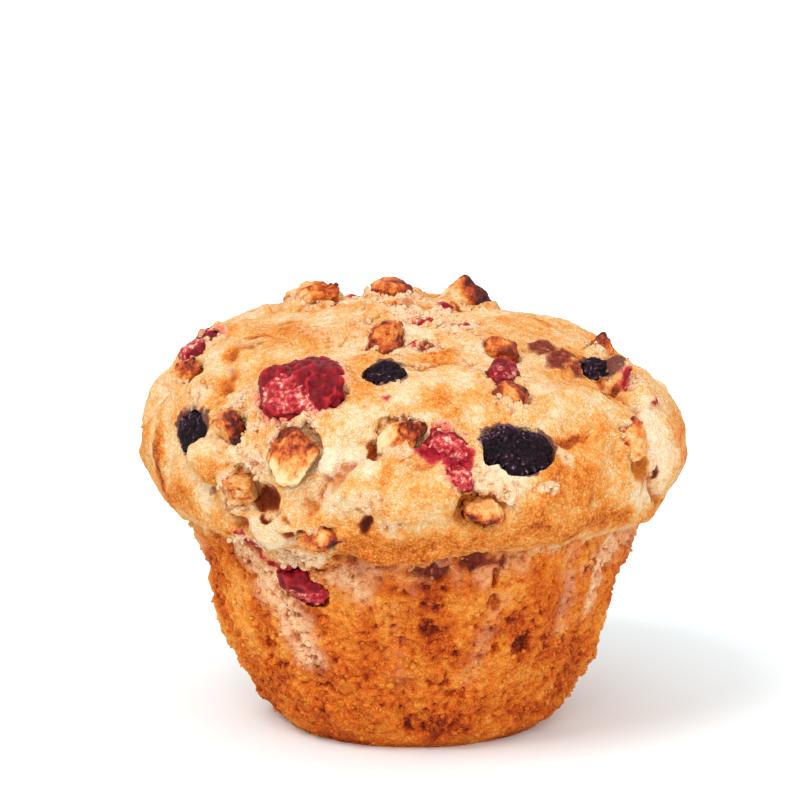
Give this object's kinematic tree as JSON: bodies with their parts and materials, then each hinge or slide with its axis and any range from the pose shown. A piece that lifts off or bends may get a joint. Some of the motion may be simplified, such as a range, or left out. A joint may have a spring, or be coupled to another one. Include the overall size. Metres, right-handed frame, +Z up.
{
  "type": "muffin",
  "caption": "Domed bakery muffin without a paper case, baked with blueberries, red berries and walnut pieces; food for one person.",
  "frame": {"origin": "middle of the flat underside", "axes": "+Z up through the top of the dome, -Y towards the front that the picture shows, +X to the right seen from the front"},
  "size_m": [0.0961, 0.099, 0.0772],
  "materials": {
    "crumb": "matte golden-brown baked crumb with a paler dome",
    "blueberry_skin": "dark blue-black wrinkled skin with a soft sheen",
    "red_berry_skin": "moist dark red skin with pink flesh",
    "walnut_meat": "toasted walnut, cream to brown, dry with a slight oil sheen"
  },
  "bodies": {
    "root": {"cake": "crumb", "blueberry_1": "blueberry_skin", "blueberry_2": "blueberry_skin", "blueberry_3": "blueberry_skin", "blueberry_4": "blueberry_skin", "blueberry_5": "blueberry_skin", "blueberry_6": "blueberry_skin", "blueberry_7": "blueberry_skin", "blueberry_8": "blueberry_skin", "red_berry_1": "red_berry_skin", "red_berry_2": "red_berry_skin", "red_berry_3": "red_berry_skin", "red_berry_4": "red_berry_skin", "red_berry_5": "red_berry_skin", "red_berry_6": "red_berry_skin", "red_berry_7": "red_berry_skin", "red_berry_8": "red_berry_skin", "red_berry_9": "red_berry_skin", "red_berry_10": "red_berry_skin", "walnut_1": "walnut_meat", "walnut_2": "walnut_meat", "walnut_3": "walnut_meat", "walnut_4": "walnut_meat", "walnut_5": "walnut_meat", "walnut_6": "walnut_meat", "walnut_7": "walnut_meat", "walnut_8": "walnut_meat", "walnut_9": "walnut_meat", "walnut_10": "walnut_meat", "walnut_11": "walnut_meat", "walnut_12": "walnut_meat", "walnut_13": "walnut_meat", "walnut_14": "walnut_meat", "walnut_15": "walnut_meat", "walnut_16": "walnut_meat", "walnut_17": "walnut_meat", "walnut_18": "walnut_meat", "walnut_19": "walnut_meat", "walnut_20": "walnut_meat", "walnut_21": "walnut_meat", "walnut_22": "walnut_meat", "walnut_23": "walnut_meat", "walnut_24": "walnut_meat"}
  },
  "joints": []
}
